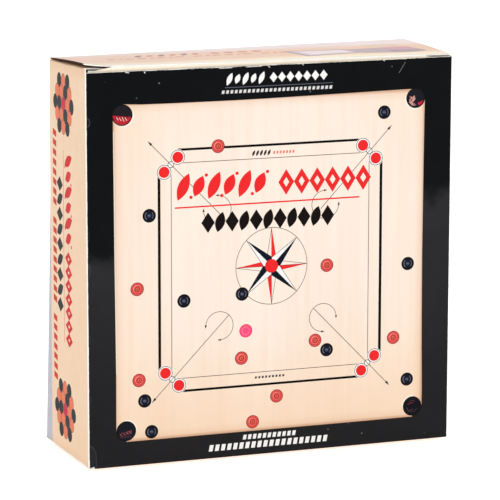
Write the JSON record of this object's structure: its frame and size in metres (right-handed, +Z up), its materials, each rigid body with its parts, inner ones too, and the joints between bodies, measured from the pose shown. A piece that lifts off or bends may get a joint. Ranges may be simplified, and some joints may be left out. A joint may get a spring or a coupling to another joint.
{
  "type": "boxed carrom men set",
  "caption": "Printed paperboard tuck-end carton with hinged lids and flaps, holding turned wooden carrom men in a foam nest on a folded platform",
  "frame": {"origin": "centre of the carton's base, where it stands on its bottom closure", "axes": "+Z up to the top closure, front face towards -Y, +X to the right seen from the front"},
  "size_m": [0.166, 0.054, 0.17],
  "materials": {
    "printed_front": "satin",
    "printed_side": "satin",
    "printed_lid": "satin",
    "printed_back": "satin",
    "plain_board": "matte",
    "insert_board": "matte",
    "foam": "matte",
    "black_lacquer": "satin",
    "natural_lacquer": "satin",
    "queen_lacquer": "satin"
  },
  "bodies": {
    "carton": {"front_panel": "printed_front", "back_panel": "printed_back", "left_panel": "printed_side", "right_panel": "printed_side", "glue_flap": "plain_board", "insert_platform": "insert_board", "foam_nest": "foam"},
    "top_closure": {"top_lid": "printed_lid"},
    "top_tuck": {"top_tuck_flap": "printed_lid"},
    "top_dust_left": {"top_dust_flap_left": "plain_board"},
    "top_dust_right": {"top_dust_flap_right": "plain_board"},
    "bottom_closure": {"bottom_lid": "printed_lid"},
    "bottom_tuck": {"bottom_tuck_flap": "printed_lid"},
    "bottom_dust_left": {"bottom_dust_flap_left": "plain_board"},
    "bottom_dust_right": {"bottom_dust_flap_right": "plain_board"},
    "coin_queen": {"coin_queen": "queen_lacquer"},
    "coin_black_1": {"coin_black_1": "black_lacquer"},
    "coin_black_2": {"coin_black_2": "black_lacquer"},
    "coin_black_3": {"coin_black_3": "black_lacquer"},
    "coin_black_4": {"coin_black_4": "black_lacquer"},
    "coin_black_5": {"coin_black_5": "black_lacquer"},
    "coin_black_6": {"coin_black_6": "black_lacquer"},
    "coin_black_7": {"coin_black_7": "black_lacquer"},
    "coin_black_8": {"coin_black_8": "black_lacquer"},
    "coin_black_9": {"coin_black_9": "black_lacquer"},
    "coin_natural_1": {"coin_natural_1": "natural_lacquer"},
    "coin_natural_2": {"coin_natural_2": "natural_lacquer"},
    "coin_natural_3": {"coin_natural_3": "natural_lacquer"},
    "coin_natural_4": {"coin_natural_4": "natural_lacquer"},
    "coin_natural_5": {"coin_natural_5": "natural_lacquer"},
    "coin_natural_6": {"coin_natural_6": "natural_lacquer"},
    "coin_natural_7": {"coin_natural_7": "natural_lacquer"},
    "coin_natural_8": {"coin_natural_8": "natural_lacquer"},
    "coin_natural_9": {"coin_natural_9": "natural_lacquer"}
  },
  "joints": [
    {"name": "top_lid_crease", "type": "hinge", "parent": "carton", "child": "top_closure", "pos_m": [0, 0.027, 0.17], "axis": [-1, 0, 0], "range_deg": [0, 180]},
    {"name": "top_tuck_crease", "type": "hinge", "parent": "top_closure", "child": "top_tuck", "pos_m": [0, -0.0261, 0.17], "axis": [-1, 0, 0], "range_deg": [0, 36]},
    {"name": "top_dust_left_crease", "type": "hinge", "parent": "carton", "child": "top_dust_left", "pos_m": [-0.083, 0, 0.1693], "axis": [0, -1, 0], "range_deg": [0, 90]},
    {"name": "top_dust_right_crease", "type": "hinge", "parent": "carton", "child": "top_dust_right", "pos_m": [0.083, 0, 0.1693], "axis": [0, 1, 0], "range_deg": [0, 90]},
    {"name": "bottom_lid_crease", "type": "hinge", "parent": "carton", "child": "bottom_closure", "pos_m": [0, 0.027, 0], "axis": [1, 0, 0], "range_deg": [0, 180]},
    {"name": "bottom_tuck_crease", "type": "hinge", "parent": "bottom_closure", "child": "bottom_tuck", "pos_m": [0, -0.0261, 0], "axis": [1, 0, 0], "range_deg": [0, 36]},
    {"name": "bottom_dust_left_crease", "type": "hinge", "parent": "carton", "child": "bottom_dust_left", "pos_m": [-0.083, 0, 0.0007], "axis": [0, 1, 0], "range_deg": [0, 90]},
    {"name": "bottom_dust_right_crease", "type": "hinge", "parent": "carton", "child": "bottom_dust_right", "pos_m": [0.083, 0, 0.0007], "axis": [0, -1, 0], "range_deg": [0, 90]},
    {"name": "coin_queen_slide", "type": "slide", "parent": "carton", "child": "coin_queen", "axis": [0, -1, 0], "range_m": [0, 0.012]},
    {"name": "coin_black_1_slide", "type": "slide", "parent": "carton", "child": "coin_black_1", "axis": [0, -1, 0], "range_m": [0, 0.012]},
    {"name": "coin_black_2_slide", "type": "slide", "parent": "carton", "child": "coin_black_2", "axis": [0, -1, 0], "range_m": [0, 0.012]},
    {"name": "coin_black_3_slide", "type": "slide", "parent": "carton", "child": "coin_black_3", "axis": [0, -1, 0], "range_m": [0, 0.012]},
    {"name": "coin_black_4_slide", "type": "slide", "parent": "carton", "child": "coin_black_4", "axis": [0, -1, 0], "range_m": [0, 0.012]},
    {"name": "coin_black_5_slide", "type": "slide", "parent": "carton", "child": "coin_black_5", "axis": [0, -1, 0], "range_m": [0, 0.012]},
    {"name": "coin_black_6_slide", "type": "slide", "parent": "carton", "child": "coin_black_6", "axis": [0, -1, 0], "range_m": [0, 0.012]},
    {"name": "coin_black_7_slide", "type": "slide", "parent": "carton", "child": "coin_black_7", "axis": [0, -1, 0], "range_m": [0, 0.012]},
    {"name": "coin_black_8_slide", "type": "slide", "parent": "carton", "child": "coin_black_8", "axis": [0, -1, 0], "range_m": [0, 0.012]},
    {"name": "coin_black_9_slide", "type": "slide", "parent": "carton", "child": "coin_black_9", "axis": [0, -1, 0], "range_m": [0, 0.012]},
    {"name": "coin_natural_1_slide", "type": "slide", "parent": "carton", "child": "coin_natural_1", "axis": [0, -1, 0], "range_m": [0, 0.012]},
    {"name": "coin_natural_2_slide", "type": "slide", "parent": "carton", "child": "coin_natural_2", "axis": [0, -1, 0], "range_m": [0, 0.012]},
    {"name": "coin_natural_3_slide", "type": "slide", "parent": "carton", "child": "coin_natural_3", "axis": [0, -1, 0], "range_m": [0, 0.012]},
    {"name": "coin_natural_4_slide", "type": "slide", "parent": "carton", "child": "coin_natural_4", "axis": [0, -1, 0], "range_m": [0, 0.012]},
    {"name": "coin_natural_5_slide", "type": "slide", "parent": "carton", "child": "coin_natural_5", "axis": [0, -1, 0], "range_m": [0, 0.012]},
    {"name": "coin_natural_6_slide", "type": "slide", "parent": "carton", "child": "coin_natural_6", "axis": [0, -1, 0], "range_m": [0, 0.012]},
    {"name": "coin_natural_7_slide", "type": "slide", "parent": "carton", "child": "coin_natural_7", "axis": [0, -1, 0], "range_m": [0, 0.012]},
    {"name": "coin_natural_8_slide", "type": "slide", "parent": "carton", "child": "coin_natural_8", "axis": [0, -1, 0], "range_m": [0, 0.012]},
    {"name": "coin_natural_9_slide", "type": "slide", "parent": "carton", "child": "coin_natural_9", "axis": [0, -1, 0], "range_m": [0, 0.012]}
  ],
  "couplings": [
    {"joint": "top_tuck_crease", "follows": "top_lid_crease", "ratio": 0.2},
    {"joint": "top_dust_left_crease", "follows": "top_lid_crease", "ratio": 0.5},
    {"joint": "top_dust_right_crease", "follows": "top_lid_crease", "ratio": 0.5},
    {"joint": "bottom_tuck_crease", "follows": "bottom_lid_crease", "ratio": 0.2},
    {"joint": "bottom_dust_left_crease", "follows": "bottom_lid_crease", "ratio": 0.5},
    {"joint": "bottom_dust_right_crease", "follows": "bottom_lid_crease", "ratio": 0.5}
  ]
}
